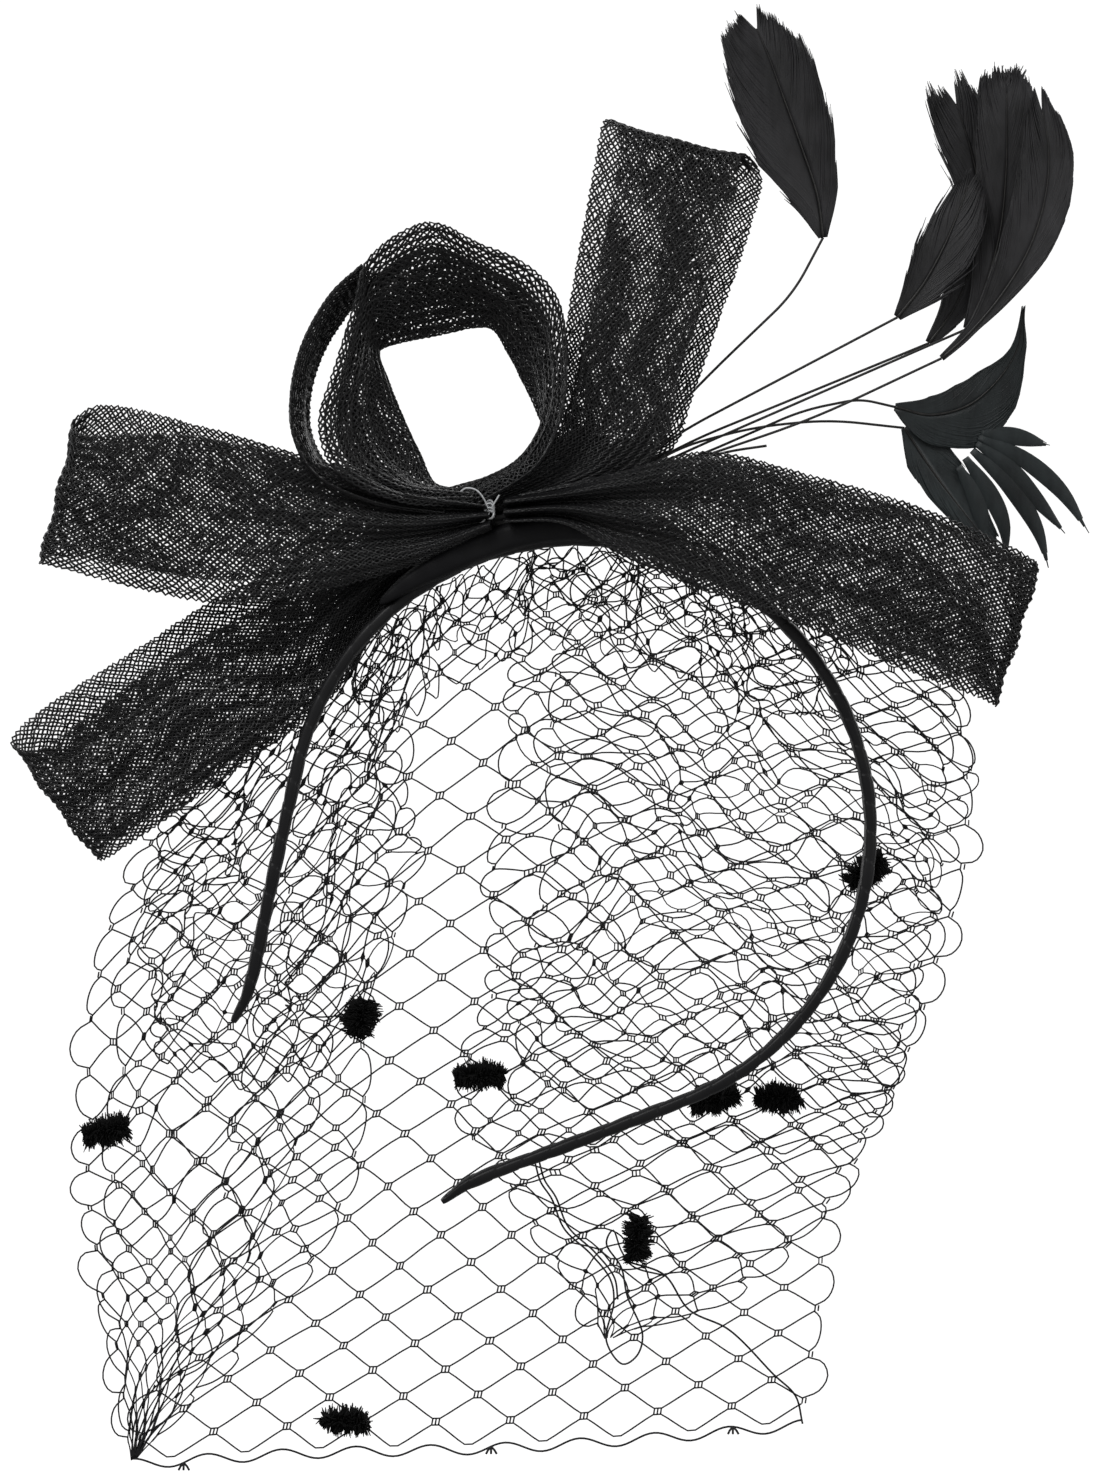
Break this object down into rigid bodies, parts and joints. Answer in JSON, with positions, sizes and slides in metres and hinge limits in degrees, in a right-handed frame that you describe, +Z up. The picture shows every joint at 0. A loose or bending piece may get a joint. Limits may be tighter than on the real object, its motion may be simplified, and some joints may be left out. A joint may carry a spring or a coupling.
{
  "type": "fascinator headpiece",
  "caption": "Fascinator on a satin-wrapped spring headband, with a braided crinoline bow, black feather sprays and a birdcage veil with chenille dots.",
  "frame": {"origin": "centre of the headband's round inner wall, half way along its width", "axes": "+Z up as displayed, with the band in the XZ plane and the veil hanging down; -Y towards the side that the bow is seen from; +X towards the feathers"},
  "size_m": [0.2467, 0.0429, 0.3294],
  "materials": {
    "spring_steel": "bare spring steel inside the wrap",
    "satin_wrap": "black polyester satin ribbon, wound in a spiral",
    "felt": "black satin-faced felt",
    "sewing_thread": "black polyester thread",
    "clear_nylon": "clear nylon monofilament",
    "crinoline": "black braided nylon crinoline, slight gloss",
    "quill": "dyed black quill",
    "feather": "dyed black feather barbs, soft sheen",
    "veil_net": "black nylon veiling",
    "chenille": "black chenille dot, matt"
  },
  "bodies": {
    "crown": {"band_core_crown": "spring_steel", "band_wrap_crown": "satin_wrap", "base_pad": "felt", "bow_centre": "crinoline", "bow_thread": "sewing_thread", "nylon_knot": "clear_nylon", "loop_upper_left": "crinoline", "loop_lower_left": "crinoline", "loop_upright": "crinoline", "loop_right": "crinoline", "centre_curl": "crinoline", "curl_arc": "crinoline", "feather_binding": "sewing_thread", "feather_patch": "felt", "quill_broken": "quill", "veil_ruffle": "veil_net", "veil_gather_thread": "sewing_thread", "veil_stitches": "sewing_thread"},
    "left_arm": {"band_core_left": "spring_steel", "band_wrap_left": "satin_wrap", "tip_cap_left": "satin_wrap"},
    "right_arm": {"band_core_right": "spring_steel", "band_wrap_right": "satin_wrap", "tip_cap_right": "satin_wrap"},
    "veil": {"veil_front": "veil_net", "veil_left_fold": "veil_net", "veil_right_fold": "veil_net", "veil_hem": "veil_net", "veil_dot_1": "chenille", "veil_dot_2": "chenille", "veil_dot_3": "chenille", "veil_dot_4": "chenille", "veil_dot_5": "chenille", "veil_dot_6": "chenille", "veil_dot_7": "chenille", "veil_dot_8": "chenille"},
    "spray_tall": {"quill_tall": "quill", "vane_tall": "feather"},
    "spray_fan": {"quill_fan_1": "quill", "quill_fan_2": "quill", "quill_fan_3": "quill", "quill_fan_4": "quill", "vane_fan_1": "feather", "vane_fan_2": "feather", "vane_fan_3": "feather", "vane_fan_4": "feather"},
    "spray_low": {"quill_low_1": "quill", "quill_low_2": "quill", "vane_low_1": "feather", "vane_low_2": "feather"}
  },
  "joints": [
    {"name": "left_arm_flex", "type": "hinge", "parent": "crown", "child": "left_arm", "pos_m": [-0.05049, 0, 0.04343], "axis": [0, 1, 0], "range_deg": [0, 10], "stiffness_Nm_per_rad": 0.3},
    {"name": "right_arm_flex", "type": "hinge", "parent": "crown", "child": "right_arm", "pos_m": [0.05049, 0, -0.04343], "axis": [0, -1, 0], "range_deg": [0, 10], "stiffness_Nm_per_rad": 0.3},
    {"name": "veil_lift", "type": "hinge", "parent": "crown", "child": "veil", "pos_m": [0, 0.009, 0.0502], "axis": [1, 0, 0], "range_deg": [0, 90]},
    {"name": "spray_tall_sway", "type": "hinge", "parent": "crown", "child": "spray_tall", "pos_m": [0.008, 0.0101, 0.079], "axis": [-0.866, 0, 0.5], "range_deg": [-8, 8], "stiffness_Nm_per_rad": 0.02},
    {"name": "spray_fan_sway", "type": "hinge", "parent": "crown", "child": "spray_fan", "pos_m": [0.008, 0.0115, 0.079], "axis": [-0.6265, 0, 0.7794], "range_deg": [-8, 8], "stiffness_Nm_per_rad": 0.02},
    {"name": "spray_low_sway", "type": "hinge", "parent": "crown", "child": "spray_low", "pos_m": [0.008, 0.0143, 0.079], "axis": [-0.069, 0, 0.9976], "range_deg": [-8, 8], "stiffness_Nm_per_rad": 0.02}
  ]
}
